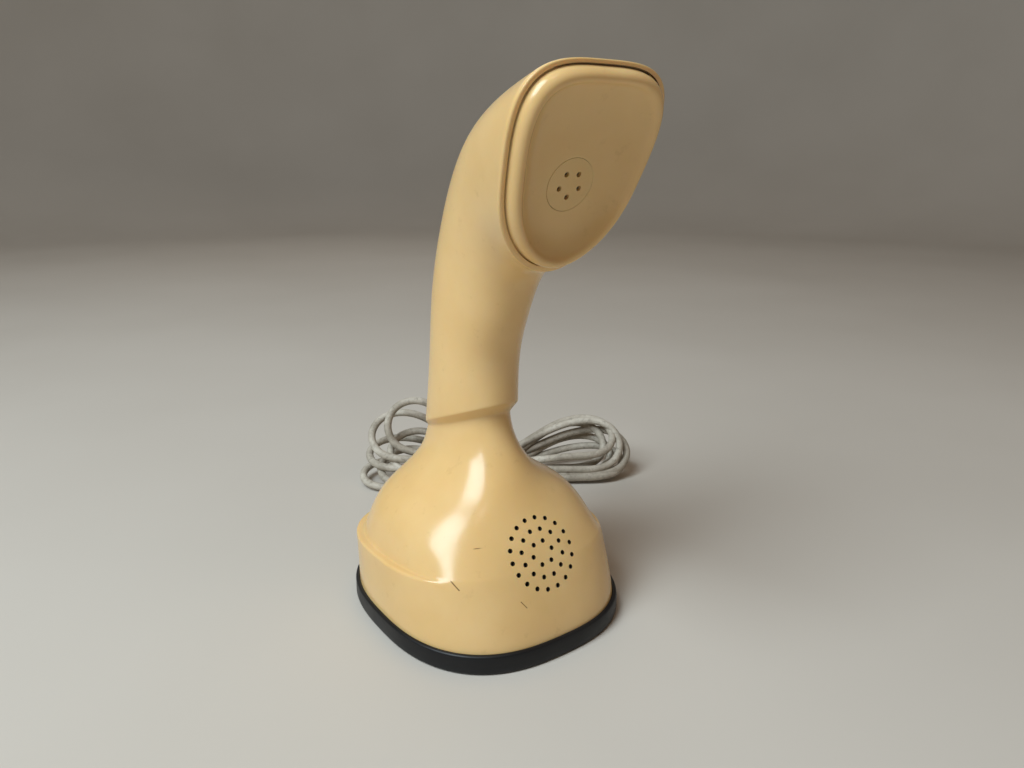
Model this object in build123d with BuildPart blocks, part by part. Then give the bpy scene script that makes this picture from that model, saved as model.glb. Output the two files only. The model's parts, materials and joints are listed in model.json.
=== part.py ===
from build123d import *
from math import atan2, cos, degrees, hypot, pi, radians, sin, sqrt, tan
import os

# One-piece stand-up rotary telephone. Millimetres, +Z up, -Y is the front.
# Origin: on the standing surface, under the middle of the telephone's box.

# ---- driving dimensions -------------------------------------------------------------------
foot_y = 7.88              # centre of the foot and of the dial, behind the origin
wall = 2.2                 # moulded shell wall
outline_points = 28        # points on each moulded cross-section

ring_height = 8.0          # rubber foot ring
ring_lip = 1.7             # how far the ring stands out of the shell
ring_width = 6.5           # width of the ring's sole
shelf_z = 4.5              # the shell's lower edge stands on the ring here

foot_half = 50.6           # half width of the foot, X
foot_reach = 56.2          # foot centre to its front and back, Y
foot_square = 2.6          # squareness of the foot's outline (2 is an ellipse)
skirt_z = 33.5             # height of the skirt's ledge
skirt_inset = (0.3, 10.3, 1.2)    # side, front and back draw in from the foot to the ledge
skirt_curve = 1.4          # above 1, the front draws in more the higher it goes
ledge = 4.2                # width of the ledge at the sides and the back
ledge_fade = (38.0, 72.0)  # the ledge grows between these angles from the front

grip_tilt_front = (-15.9, 93.0)   # lower edge of the grip over the neck: front point (y, z)
face_lean = 22.8           # the earpiece face leans forward by this much
face_top = (-72.3, 217.8)  # highest point of the face opening, (y, z) from the foot's centre
face_length = 73.8         # length of the shell's opening along the face
face_half = 30.0           # half width of the shell's opening, before the egg shape
face_egg = 0.19            # how much wider the opening is at the top than at mid height
face_square = 2.05         # squareness of the opening's lower end
face_square_top = 3.4      # squareness of its top

plate_gap = 0.5            # groove between face plate and shell
plate_stand = 4.4          # the face plate stands this far out of the shell's opening
dish_depth = 5.6           # depth of the dish in the face plate
insert_radius = 9.4        # round sound-hole insert
insert_drop = 4.6          # insert's centre below the plate's centre, along the face

mic_z = 38.4               # centre of the mouthpiece holes
mic_ring_step = 4.75       # spacing of the three rings of holes
mic_hole = 0.95            # hole radius
mic_lean = 32.0            # the shell's front leans back by this much there

dial_radius = 38.0         # finger wheel
finger_circle = 28.5       # centres of the finger holes
finger_hole = 6.6          # radius of a finger hole
finger_step = 30.0         # degrees between finger holes
stop_angle = -60.0         # finger stop, degrees round the dial from +X
wheel_z = 1.7              # underside of the finger wheel
wheel_thick = 2.2
face_z = 5.3               # underside of the number ring
face_thick = 0.9
run_gap = 0.08             # radial clearance of turning and sliding fits

shaft_radius = 5.0
shaft_bore = 3.1
frame_z = 8.8              # underside of the dial's frame plate
frame_thick = 1.2
bridge_z = 21.0            # underside of the upper plate
gear_module = 0.8
main_teeth = 60
pinion_teeth = 12
train_module = 0.5
impulse_teeth = 40
governor_teeth = 10
impulse_angle = 150.0      # where the impulse shaft stands round the dial axis
governor_angle = 30.0      # direction from the impulse shaft to the governor shaft

button_radius = 8.5
button_travel = 4.5        # how far the hook button comes out when the telephone is lifted
lever_reach = 14.0         # hook lever pivot to plunger axis

cord_d = 4.4
plug_size = (22.0, 30.0, 16.0)


# ---- outlines -----------------------------------------------------------------------------
def oval(half, reach, square=2.1, egg=0.0, square_back=None):
    """Closed outline: half wide along x, reach along y, wider towards +y by egg."""
    points = []
    for index in range(outline_points):
        angle = 2 * pi * index / outline_points
        c, s = cos(angle), sin(angle)
        power = square + ((square_back or square) - square) * (1 + s) / 2
        scale = (abs(c) ** power + abs(s) ** power) ** (-1 / power)
        points.append((half * scale * c * (1 + egg * scale * s), reach * scale * s))
    return points


def ledge_oval(half, reach, square, depth):
    """The oval drawn in by depth at the sides and back, and not at all at the front."""
    points = []
    for x, y in oval(half, reach, square):
        from_front = degrees(atan2(abs(x), -y))
        part = min(1.0, max(0.0, (from_front - ledge_fade[0]) / (ledge_fade[1] - ledge_fade[0])))
        fade = part * part * (3 - 2 * part)
        scale = 1 - depth * fade / hypot(x, y)
        points.append((x * scale, y * scale))
    return points


def slice_plane(front, back):
    """Plane through a front and a back point (y, z from the foot's centre), square to the mirror plane."""
    middle = ((front[0] + back[0]) / 2, (front[1] + back[1]) / 2)
    reach = hypot(back[0] - front[0], back[1] - front[1]) / 2
    along = ((back[0] - front[0]) / reach / 2, (back[1] - front[1]) / reach / 2)
    plane = Plane(origin=(0, foot_y + middle[0], middle[1]), x_dir=(1, 0, 0), z_dir=(0, -along[1], along[0]))
    return plane, reach


def shift(station, distance):
    """The same station moved along its plane's normal."""
    (fy, fz), (by, bz) = station[0], station[1]
    size = hypot(by - fy, bz - fz)
    ny, nz = -(bz - fz) / size * distance, (by - fy) / size * distance
    return ((fy + ny, fz + nz), (by + ny, bz + nz)) + station[2:]


def slice_face(station, inset=0.0):
    """One cross-section, drawn in by inset."""
    front, back, half, square = station[:4]
    egg = station[4] if len(station) > 4 else 0.0
    square_back = station[5] if len(station) > 5 else None
    plane, reach = slice_plane(front, back)
    with BuildSketch(plane) as outline:
        with BuildLine():
            Spline(*oval(half - inset, reach - inset, square, egg, square_back), periodic=True)
        make_face()
    return outline.sketch


def foot_face(height, inset=0.0, depth=0.0):
    """One horizontal slice of the foot; depth is how far the ledge is drawn in."""
    part = (height - shelf_z) / (skirt_z - shelf_z)
    half = foot_half - skirt_inset[0] * part
    front = foot_reach - skirt_inset[1] * max(0.0, part) ** skirt_curve
    back = foot_reach - skirt_inset[2] * part
    with BuildSketch(Plane((0, foot_y + (back - front) / 2, height))) as outline:
        with BuildLine():
            Spline(*ledge_oval(half - inset, (front + back) / 2 - inset, foot_square, depth), periodic=True)
        make_face()
    return outline.sketch


# Cross-sections of the bell and neck: front (y, z), back (y, z), half width, squareness.
# y is measured from the foot's centre.
bell = (
    ((-40.4, 42.0), (47.0, 42.0), 43.8, 2.5),
    ((-33.7, 50.5), (44.2, 49.5), 38.2, 2.35),
    ((-27.6, 59.0), (41.2, 56.5), 27.2, 2.2),
    ((-21.6, 68.0), (38.4, 63.0), 19.0, 2.1),
    ((-14.6, 79.0), (36.2, 69.0), 15.3, 2.1),
    ((-11.1, 92.9), (32.4, 75.9), 14.7, 2.1),
)
# The grip, from its lower edge over the neck up to the head and the earpiece opening.
face_bottom = (face_top[0] + face_length * sin(radians(face_lean)),
               face_top[1] - face_length * cos(radians(face_lean)))
grip = (
    (grip_tilt_front, (33.6, 74.3), 17.2, 2.1),
    ((-16.7, 113.0), (27.4, 107.5), 17.2, 2.1),
    ((-22.6, 127.5), (24.4, 136.5), 17.2, 2.1),
    ((-28.7, 140.5), (13.8, 167.0), 18.0, 2.15),
    ((-35.4, 148.2), (-13.0, 199.0), 21.5, 2.25, 0.08, 2.4),
    (face_bottom, face_top, face_half, face_square, face_egg, face_square_top),
)


def face_plane(offset=0.0):
    """Plane of the earpiece opening, pushed outwards by offset."""
    plane, _ = slice_plane(face_bottom, face_top)
    return plane.offset(offset)


# ---- outer pieces -------------------------------------------------------------------------
mic_front = (-42.9, mic_z)


def mic_plane(depth):
    """Plane across the mouthpiece axis, depth behind the shell's outer face; its z looks outwards."""
    lean = radians(mic_lean)
    origin = (0, foot_y + mic_front[0] + depth * cos(lean), mic_front[1] - depth * sin(lean))
    return Plane(origin=origin, x_dir=(1, 0, 0), z_dir=(0, -cos(lean), sin(lean)))


cord_exit_z = 15.0         # the cord leaves the back of the foot here
shell_back = foot_y + foot_reach - 0.5

skirt_heights = (shelf_z, (shelf_z + skirt_z) / 2, skirt_z)

neck_wall = wall + 0.4     # the bell's hollow starts clear inside the skirt's hollow

with BuildPart() as hollow:
    loft([foot_face(height, wall) for height in (shelf_z - 1, skirt_heights[1], skirt_z - wall)])
    loft([foot_face(skirt_z - 2 * wall, neck_wall, ledge)]
         + [slice_face(station, wall) for station in bell + (shift(bell[-1], wall),)])
    loft([slice_face(shift(grip[0], wall), wall)]
         + [slice_face(station, wall) for station in grip[1:-1] + (shift(grip[-1], 1.0),)])

with BuildPart() as body_shell:
    loft([foot_face(height) for height in skirt_heights])
    loft([foot_face(skirt_z, depth=ledge)] + [slice_face(station) for station in bell])
    loft([slice_face(station) for station in grip])
    add(hollow.part, mode=Mode.SUBTRACT)
    # mouthpiece holes in three rings
    with BuildSketch(mic_plane(6.0)):
        for ring in (1, 2, 3):
            with PolarLocations(ring * mic_ring_step, 6 * ring, start_angle=7 * ring):
                Circle(mic_hole)
    extrude(amount=12, mode=Mode.SUBTRACT)
    # hole for the cord's grommet in the back
    with BuildSketch(Plane.XZ.offset(-shell_back - 4)):
        with Locations((0, cord_exit_z)):
            Circle(5.0)
    extrude(amount=12, mode=Mode.SUBTRACT)
body_shell.part.label = "body_shell"

with BuildPart() as foot_ring:
    add(loft([foot_face(height, -ring_lip) for height in (0.6, ring_height)], mode=Mode.PRIVATE))
    add(loft([foot_face(height, -ring_lip + 0.8) for height in (0.0, 0.6)], mode=Mode.PRIVATE))
    add(loft([foot_face(height, ring_width - ring_lip) for height in (-1, ring_height + 1)],
             mode=Mode.PRIVATE), mode=Mode.SUBTRACT)
    add(loft([foot_face(height) for height in (shelf_z, ring_height + 2)], mode=Mode.PRIVATE),
        mode=Mode.SUBTRACT)
foot_ring.part.label = "foot_ring"

# ---- earpiece -----------------------------------------------------------------------------
_, face_reach = slice_plane(face_bottom, face_top)
plate_half = face_half - wall - plate_gap
plate_reach = face_reach - wall - plate_gap
plate_back = 1.2           # the plate's rim reaches this far into the opening


def face_outline(offset, inset):
    """Egg-shaped face across the earpiece opening, drawn in by inset from the plate's edge."""
    with BuildSketch(face_plane(offset)) as outline:
        with BuildLine():
            Spline(*oval(plate_half - inset, plate_reach - inset, face_square, face_egg, face_square_top),
                   periodic=True)
        make_face()
    return outline.sketch


def insert_outline(offset, radius):
    """Round face at the sound-hole insert, drawn with as many points as the plate's outline."""
    with BuildSketch(face_plane(offset)) as outline:
        with BuildLine():
            Spline(*[(x, y - insert_drop) for x, y in oval(radius, radius, 2.0)], periodic=True)
        make_face()
    return outline.sketch


dish_floor = plate_stand - dish_depth
plate_wall = 1.8
insert_thick = 1.4

with BuildPart() as ear_plate:
    loft([face_outline(-plate_back, 0.0), face_outline(plate_stand - 1.0, 0.0)])
    loft([face_outline(plate_stand - 1.0, 0.0), face_outline(plate_stand, 1.0)])
    loft([face_outline(-plate_back, 4.0), insert_outline(dish_floor - plate_wall, insert_radius + 4)])
    loft([face_outline(plate_stand + 0.4, 2.4), face_outline(plate_stand - 2.4, 6.0),
          insert_outline(dish_floor, insert_radius + 0.5)], mode=Mode.SUBTRACT)
    with BuildSketch(face_plane(dish_floor + 1)):
        with Locations((0, -insert_drop)):
            Circle(insert_radius)
    extrude(amount=-6, mode=Mode.SUBTRACT)
ear_plate.part.label = "ear_plate"

with BuildPart() as ear_insert:
    with BuildSketch(face_plane(dish_floor)):
        with Locations((0, -insert_drop)):
            Circle(insert_radius - 0.05)
            with PolarLocations(4.4, 5, start_angle=-90):
                Circle(0.95, mode=Mode.SUBTRACT)
    extrude(amount=-insert_thick)
ear_insert.part.label = "ear_insert"

receiver_radius = 15.5
receiver_front = dish_floor - plate_wall - 1.4
receiver_depth = 10.0

with BuildPart() as receiver_seal:
    with BuildSketch(face_plane(receiver_front + 1.2)):
        with Locations((0, -insert_drop)):
            Circle(receiver_radius - 1)
            Circle(receiver_radius - 5, mode=Mode.SUBTRACT)
    extrude(amount=-1.2)
receiver_seal.part.label = "receiver_seal"

with BuildPart() as receiver_capsule:
    with BuildSketch(face_plane(receiver_front)):
        with Locations((0, -insert_drop)):
            Circle(receiver_radius)
    extrude(amount=-receiver_depth * 0.6)
    with BuildSketch(face_plane(receiver_front - receiver_depth * 0.6)):
        with Locations((0, -insert_drop)):
            Circle(receiver_radius - 3)
    extrude(amount=-receiver_depth * 0.4)
    fillet(receiver_capsule.edges().filter_by(GeomType.CIRCLE), 0.6)
receiver_capsule.part.label = "receiver_capsule"

clip_back = receiver_front - receiver_depth
with BuildPart() as receiver_clip:
    with BuildSketch(face_plane(clip_back)):
        with Locations((0, -insert_drop)):
            Rectangle(30, 7)
    extrude(amount=-0.8)
    with BuildSketch(face_plane(clip_back)):
        with Locations((-14.6, -insert_drop), (14.6, -insert_drop)):
            Rectangle(0.8, 7)
    extrude(amount=3.6)
receiver_clip.part.label = "receiver_clip"

# ---- mouthpiece ---------------------------------------------------------------------------
mic_radius = 14.5
mic_seat = 6.4             # the seal starts this far behind the shell's face
mic_depth = 7.5

with BuildPart() as mic_seal:
    with BuildSketch(mic_plane(mic_seat)):
        Circle(mic_radius + 0.6)
        Circle(mic_radius - 2, mode=Mode.SUBTRACT)
    extrude(amount=-1.2)
mic_seal.part.label = "mic_seal"

with BuildPart() as mic_capsule:
    with BuildSketch(mic_plane(mic_seat + 1.2)):
        Circle(mic_radius)
    extrude(amount=-mic_depth)
    with BuildSketch(mic_plane(mic_seat + 1.2)):
        with PolarLocations(6, 6):
            Circle(1.2)
        Circle(1.2)
    extrude(amount=-1.0, mode=Mode.SUBTRACT)
mic_capsule.part.label = "mic_capsule"

mic_back = mic_seat + 1.2 + mic_depth
with BuildPart() as mic_clamp:
    with BuildSketch(mic_plane(mic_back)):
        Rectangle(38, 6)
        with Locations((-16.8, 0), (16.8, 0)):
            Circle(1.3, mode=Mode.SUBTRACT)
    extrude(amount=-1.0)
mic_clamp.part.label = "mic_clamp"

with BuildPart() as mic_screws:
    with BuildSketch(mic_plane(mic_back + 1.0)):
        with Locations((-16.8, 0), (16.8, 0)):
            Circle(2.3)
    extrude(amount=-1.2)
    with BuildSketch(mic_plane(mic_back + 1.0)):
        with Locations((-16.8, 0), (16.8, 0)):
            Circle(1.25)
    extrude(amount=6.0)
mic_screws.part.label = "mic_screws"

# ---- dial, from the table upwards ---------------------------------------------------------
dial = Plane((0, foot_y, 0))
hole_angles = [stop_angle + 60 + finger_step * index for index in range(10)]


def at(height):
    """Horizontal plane on the dial's axis."""
    return dial.offset(height)


def around(radius, angle):
    """A point on the dial's plane."""
    return (radius * cos(radians(angle)), radius * sin(radians(angle)))


hub_radius = 9.5
hub_bore = button_radius + run_gap
hub_top = 6.9

with BuildPart() as finger_wheel:
    with BuildSketch(at(wheel_z)):
        Circle(dial_radius)
        Circle(hub_radius, mode=Mode.SUBTRACT)
        with Locations(*[around(finger_circle, angle) for angle in hole_angles]):
            Circle(finger_hole, mode=Mode.SUBTRACT)
    extrude(amount=wheel_thick)
    fillet(finger_wheel.edges().filter_by(GeomType.CIRCLE).group_by(Axis.Z)[0], 0.5)
finger_wheel.part.label = "finger_wheel"

with BuildPart() as wheel_hub:
    with BuildSketch(at(0.8)):
        Circle(hub_radius + 2.2)
    extrude(amount=wheel_z - 0.8)
    with BuildSketch(at(wheel_z)):
        Circle(hub_radius)
    extrude(amount=hub_top + 1.2 - wheel_z)
    with BuildSketch(at(0)):
        Circle(hub_bore)
    extrude(amount=hub_top, mode=Mode.SUBTRACT)
    with BuildSketch(at(hub_top)):
        Circle(shaft_radius)
    extrude(amount=2, mode=Mode.SUBTRACT)
wheel_hub.part.label = "wheel_hub"

bridge_top = bridge_z + frame_thick
shaft_top = bridge_top + 0.8
with BuildPart() as dial_shaft:
    with BuildSketch(at(hub_top)):
        Circle(shaft_radius)
        Circle(shaft_bore, mode=Mode.SUBTRACT)
    extrude(amount=shaft_top - hub_top)
dial_shaft.part.label = "dial_shaft"


def gear_outline(teeth, module, phase):
    """Closed outline of a spur gear with straight-sided teeth, one tooth centred on phase (degrees)."""
    pitch = teeth * module / 2
    root, tip = pitch - 1.15 * module, pitch + 0.85 * module
    step = 360 / teeth
    points = []
    for index in range(teeth):
        middle = phase + index * step
        points += [around(root, middle - 0.27 * step), around(tip, middle - 0.10 * step),
                   around(tip, middle + 0.10 * step), around(root, middle + 0.27 * step)]
    return points


gear_z = 11.0
main_pitch = main_teeth * gear_module / 2
pinion_pitch = pinion_teeth * gear_module / 2
impulse_at = around(main_pitch + pinion_pitch, impulse_angle)
impulse_pitch = impulse_teeth * train_module / 2
governor_pitch = governor_teeth * train_module / 2
governor_at = (impulse_at[0] + (impulse_pitch + governor_pitch) * cos(radians(governor_angle)),
               impulse_at[1] + (impulse_pitch + governor_pitch) * sin(radians(governor_angle)))

with BuildPart() as main_gear:
    with BuildSketch(at(gear_z)):
        Polygon(*gear_outline(main_teeth, gear_module, impulse_angle), align=None)
        Circle(shaft_radius, mode=Mode.SUBTRACT)
        with PolarLocations(14.5, 5):
            Circle(4.6, mode=Mode.SUBTRACT)
    extrude(amount=1.6)
main_gear.part.label = "main_gear"

with BuildPart() as off_normal_cam:
    with BuildSketch(at(19.0)):
        Circle(8.5)
        Circle(shaft_radius, mode=Mode.SUBTRACT)
        with Locations(around(8.9, 20)):
            Circle(1.6, mode=Mode.SUBTRACT)
    extrude(amount=1.2)
off_normal_cam.part.label = "off_normal_cam"

with BuildPart() as impulse_shaft:
    with BuildSketch(at(frame_z + 0.1)):
        with Locations(impulse_at):
            Circle(1.5)
    extrude(amount=bridge_top - frame_z - 0.2)
    with BuildSketch(Plane((impulse_at[0], foot_y + impulse_at[1], gear_z - 0.4))):
        Polygon(*gear_outline(pinion_teeth, gear_module, impulse_angle + 180 + 180 / pinion_teeth),
                align=None)
    extrude(amount=2.6)
impulse_shaft.part.label = "impulse_shaft"

impulse_plane = Plane((impulse_at[0], foot_y + impulse_at[1], 0))
with BuildPart() as impulse_gear:
    with BuildSketch(impulse_plane.offset(14.0)):
        Polygon(*gear_outline(impulse_teeth, train_module, governor_angle), align=None)
        Circle(1.5, mode=Mode.SUBTRACT)
        with PolarLocations(6, 4):
            Circle(1.9, mode=Mode.SUBTRACT)
    extrude(amount=1.2)
impulse_gear.part.label = "impulse_gear"

with BuildPart() as impulse_cam:
    with BuildSketch(impulse_plane.offset(16.8)):
        Circle(2.6)
        with PolarLocations(2.4, 3):
            Circle(1.1)
        Circle(1.5, mode=Mode.SUBTRACT)
    extrude(amount=1.6)
impulse_cam.part.label = "impulse_cam"

governor_plane = Plane((governor_at[0], foot_y + governor_at[1], 0))
with BuildPart() as governor_shaft:
    with BuildSketch(governor_plane.offset(13.3)):
        Circle(1.1)
    extrude(amount=bridge_top - 0.1 - 13.3)
    with BuildSketch(governor_plane.offset(13.7)):
        Polygon(*gear_outline(governor_teeth, train_module, governor_angle + 180 + 180 / governor_teeth),
                align=None)
    extrude(amount=1.8)
governor_shaft.part.label = "governor_shaft"

with BuildPart() as governor_weights:
    with BuildSketch(governor_plane.offset(17.2)):
        Circle(2.0)
        Rectangle(11, 0.8)
        Circle(1.1, mode=Mode.SUBTRACT)
    extrude(amount=0.6)
    with BuildSketch(governor_plane.offset(17.0)):
        with PolarLocations(5.0, 2):
            Circle(1.5)
    extrude(amount=3.0)
governor_weights.part.label = "governor_weights"

with BuildPart() as governor_drum:
    with BuildSketch(governor_plane.offset(16.4)):
        Circle(8.2)
        Circle(7.2, mode=Mode.SUBTRACT)
    extrude(amount=bridge_z - 16.4)
governor_drum.part.label = "governor_drum"

frame_radius = 39.0
pillar_circle = 34.5
pillar_angles = (20, 200, 312)
with BuildPart() as dial_frame:
    with BuildSketch(at(frame_z)):
        Circle(frame_radius)
        Circle(shaft_radius + run_gap, mode=Mode.SUBTRACT)
        with Locations(impulse_at):
            Circle(1.5 + run_gap, mode=Mode.SUBTRACT)
        with Locations(*[around(pillar_circle, angle) for angle in pillar_angles]):
            Circle(1.6, mode=Mode.SUBTRACT)
    extrude(amount=frame_thick)
dial_frame.part.label = "dial_frame"

with BuildPart() as frame_pillars:
    with BuildSketch(at(frame_z + frame_thick)):
        with Locations(*[around(pillar_circle, angle) for angle in pillar_angles]):
            RegularPolygon(3.2, 6)
            Circle(1.2, mode=Mode.SUBTRACT)
    extrude(amount=bridge_z - frame_z - frame_thick)
frame_pillars.part.label = "frame_pillars"

with BuildPart() as dial_bridge:
    with BuildSketch(at(bridge_z)):
        Circle(pillar_circle + 3.5)
        Circle(shaft_radius + run_gap, mode=Mode.SUBTRACT)
        with Locations(impulse_at):
            Circle(1.5 + run_gap, mode=Mode.SUBTRACT)
        with Locations(governor_at):
            Circle(1.1 + run_gap, mode=Mode.SUBTRACT)
        with Locations(*[around(pillar_circle, angle) for angle in pillar_angles]):
            Circle(1.3, mode=Mode.SUBTRACT)
        with Locations((0, -36)):
            Rectangle(44, 28, mode=Mode.SUBTRACT)
    extrude(amount=frame_thick)
dial_bridge.part.label = "dial_bridge"

with BuildPart() as bridge_screws:
    with BuildSketch(at(bridge_top)):
        with Locations(*[around(pillar_circle, angle) for angle in pillar_angles]):
            Circle(2.4)
    extrude(amount=1.3)
    with BuildSketch(at(bridge_top)):
        with Locations(*[around(pillar_circle, angle) for angle in pillar_angles]):
            Circle(1.15)
    extrude(amount=-6)
    with BuildSketch(at(bridge_top + 0.7)):
        with Locations(*[around(pillar_circle, angle) for angle in pillar_angles]):
            Rectangle(6, 0.6)
    extrude(amount=1, mode=Mode.SUBTRACT)
bridge_screws.part.label = "bridge_screws"


def spiral(start, end, turns, thickness, steps=8):
    """Outline of a flat spiral strip."""
    count = int(turns * steps)
    inner, outer = [], []
    for index in range(count + 1):
        radius = start + (end - start) * index / count
        angle = 360 * turns * index / count
        inner.append(around(radius, angle))
        outer.append(around(radius + thickness, angle))
    return inner, outer


with BuildPart() as return_spring:
    strip_in, strip_out = spiral(6.0, 12.5, 4.0, 0.45)
    with BuildSketch(at(15.0)):
        with BuildLine():
            Spline(*strip_in)
            Spline(*strip_out)
            Line(strip_in[0], strip_out[0])
            Line(strip_in[-1], strip_out[-1])
        make_face()
    extrude(amount=3.2)
return_spring.part.label = "return_spring"


def leaf_stack(middle, turn, length, leaves, gap=1.3, width=3.0, low=14.0):
    """Places of a stack of thin contact leaves standing on edge."""
    return [Location((middle[0] + gap * index * sin(radians(turn)),
                      foot_y + middle[1] - gap * index * cos(radians(turn)), low), (0, 0, turn))
            for index in range(leaves)]


impulse_stack = leaf_stack(around(31.5, 178), 92, 15, 2, low=16.2)
off_normal_stack = leaf_stack(around(13.2, -20), 70, 15, 3, low=18.4)
with BuildPart() as impulse_springs:
    with Locations(*impulse_stack):
        Box(15, 0.35, 2.6, align=(Align.CENTER, Align.CENTER, Align.MIN))
impulse_springs.part.label = "impulse_springs"

with BuildPart() as off_normal_springs:
    with Locations(*off_normal_stack):
        Box(15, 0.35, 2.2, align=(Align.CENTER, Align.CENTER, Align.MIN))
off_normal_springs.part.label = "off_normal_springs"

# ---- underside ----------------------------------------------------------------------------
opening_radius = dial_radius + 1.6
with BuildPart() as number_ring:
    with BuildSketch(at(face_z)):
        Circle(opening_radius + 1.2)
        Circle(hub_radius + 0.8, mode=Mode.SUBTRACT)
    extrude(amount=face_thick)
number_ring.part.label = "number_ring"

plate_z = face_z + face_thick
plate_thick = 2.0
screw_circle = 44.0
screw_angles = (45, 135, 270)
with BuildPart() as base_plate:
    add(loft([foot_face(height, ring_width - ring_lip + 0.3) for height in (plate_z, plate_z + plate_thick)],
             mode=Mode.PRIVATE))
    with BuildSketch(at(plate_z)):
        Circle(opening_radius - 3)
        with Locations(*[around(screw_circle, angle) for angle in screw_angles]):
            Circle(1.7, mode=Mode.ADD)
    extrude(amount=plate_thick, mode=Mode.SUBTRACT)
base_plate.part.label = "base_plate"

with BuildPart() as base_screws:
    with BuildSketch(at(plate_z)):
        with Locations(*[around(screw_circle, angle) for angle in screw_angles]):
            Circle(2.8)
    extrude(amount=-1.4)
    with BuildSketch(at(plate_z)):
        with Locations(*[around(screw_circle, angle) for angle in screw_angles]):
            Circle(1.5)
    extrude(amount=9)
    with BuildSketch(at(plate_z - 0.8)):
        with Locations(*[around(screw_circle, angle) for angle in screw_angles]):
            Rectangle(7, 0.8, rotation=30)
    extrude(amount=-1, mode=Mode.SUBTRACT)
base_screws.part.label = "base_screws"

stop_z = 0.6
stop_outer = opening_radius + 3.4
stop_heel = dial_radius + 0.9
with BuildPart() as finger_stop:
    with BuildSketch(at(stop_z)):
        with BuildLine():
            Polyline(around(21.5, stop_angle - 1), around(stop_outer, stop_angle - 3.2),
                     around(stop_outer, stop_angle + 3.2), around(21.5, stop_angle + 2.6), close=True)
        make_face()
    extrude(amount=0.8)
    with BuildSketch(at(stop_z)):
        with BuildLine():
            Polyline(around(stop_heel, stop_angle - 3.3), around(stop_outer, stop_angle - 3.2),
                     around(stop_outer, stop_angle + 3.2), around(stop_heel, stop_angle + 3.3), close=True)
        make_face()
    extrude(amount=face_z - stop_z)
finger_stop.part.label = "finger_stop"

with BuildPart() as hook_button:
    with BuildSketch(at(0.1)):
        Circle(button_radius)
    extrude(amount=5.4)
    fillet(hook_button.edges().group_by(Axis.Z)[0], 1.6)
hook_button.part.label = "hook_button"

collar_z = 28.2
rod_top = 41.0
with BuildPart() as hook_rod:
    with BuildSketch(at(5.5)):
        Circle(shaft_bore - run_gap)
    extrude(amount=rod_top - 5.5)
    with BuildSketch(at(collar_z)):
        Circle(7.0)
    extrude(amount=1.0)
hook_rod.part.label = "hook_rod"

bracket_z = 38.0
with BuildPart() as hook_bracket:
    with BuildSketch(at(bracket_z)):
        Rectangle(30, 14)
        Circle(shaft_bore, mode=Mode.SUBTRACT)
    extrude(amount=1.0)
    with BuildSketch(at(bridge_top)):
        with Locations((-14.5, 0)):
            Rectangle(1, 14)
    extrude(amount=bracket_z - bridge_top + 1)
    with BuildSketch(at(bridge_top)):
        with Locations((14.5, 8.5), (14.5, -8.5)):
            Rectangle(4, 1)
    extrude(amount=bracket_z - bridge_top + 1)
    with BuildSketch(at(bracket_z)):
        with Locations((14.5, 0)):
            Rectangle(4, 18)
    extrude(amount=1.0)
    with BuildSketch(Plane.XZ.offset(-foot_y - 12)):
        with Locations((lever_reach, collar_z + 1.8)):
            Circle(1.0)
    extrude(amount=24, mode=Mode.SUBTRACT)
hook_bracket.part.label = "hook_bracket"

with BuildPart() as lever_pin:
    with BuildSketch(Plane.XZ.offset(-foot_y - 9.6)):
        with Locations((lever_reach, collar_z + 1.8)):
            Circle(1.0)
    extrude(amount=19.2)
lever_pin.part.label = "lever_pin"

lever_z = collar_z + 1.1
with BuildPart() as hook_lever:
    with BuildSketch(at(lever_z)):
        with Locations((lever_reach / 2 - 1, 6.2), (lever_reach / 2 - 1, -6.2)):
            Rectangle(lever_reach + 2, 1.6)
        with Locations((lever_reach, 0)):
            Rectangle(4.4, 14)
        with Locations((lever_reach + 6, 0)):
            Rectangle(9, 4)
    extrude(amount=1.4)
    with BuildSketch(Plane.XZ.offset(-foot_y - 7)):
        with Locations((lever_reach, collar_z + 1.8)):
            Circle(1.9)
    extrude(amount=14)
    with BuildSketch(Plane.XZ.offset(-foot_y - 8)):
        with Locations((lever_reach, collar_z + 1.8)):
            Circle(1.0 + run_gap)
    extrude(amount=16, mode=Mode.SUBTRACT)
hook_lever.part.label = "hook_lever"

spring_wire = 0.35
with BuildPart() as hook_spring:
    with BuildLine() as coil:
        Helix(pitch=1.9, height=bracket_z - collar_z - 1.0 - 2 * spring_wire - 0.1, radius=4.4,
              center=(0, foot_y, collar_z + 1.05 + spring_wire))
    with BuildSketch(Plane(coil.line @ 0, z_dir=coil.line % 0)):
        Circle(spring_wire)
    sweep(is_frenet=True)
hook_spring.part.label = "hook_spring"

with BuildPart() as hook_contacts:
    with Locations(*[Location((lever_reach + 14, foot_y + offset, bridge_top)) for offset in (-4, 0, 4)]):
        Box(0.4, 2.4, 12, align=(Align.CENTER, Align.CENTER, Align.MIN))
    with Locations(Location((lever_reach + 14, foot_y, bridge_top))):
        Box(4, 12, 4, align=(Align.CENTER, Align.CENTER, Align.MIN))
hook_contacts.part.label = "hook_contacts"

# ---- circuit ------------------------------------------------------------------------------
board_z = 27.0
board_top = board_z + 1.6
board_y = foot_y + 26.5
board_posts_at = ((-24, 0), (24, 0))
board = Plane((0, board_y, 0))
with BuildPart() as circuit_board:
    with BuildSketch(board.offset(board_z)):
        Rectangle(58, 26)
        with Locations(*board_posts_at):
            Circle(1.3, mode=Mode.SUBTRACT)
    extrude(amount=1.6)
circuit_board.part.label = "circuit_board"

with BuildPart() as board_posts:
    with BuildSketch(board.offset(bridge_top)):
        with Locations(*board_posts_at):
            Circle(2.6)
            Circle(1.1, mode=Mode.SUBTRACT)
    extrude(amount=board_z - bridge_top)
board_posts.part.label = "board_posts"

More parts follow.
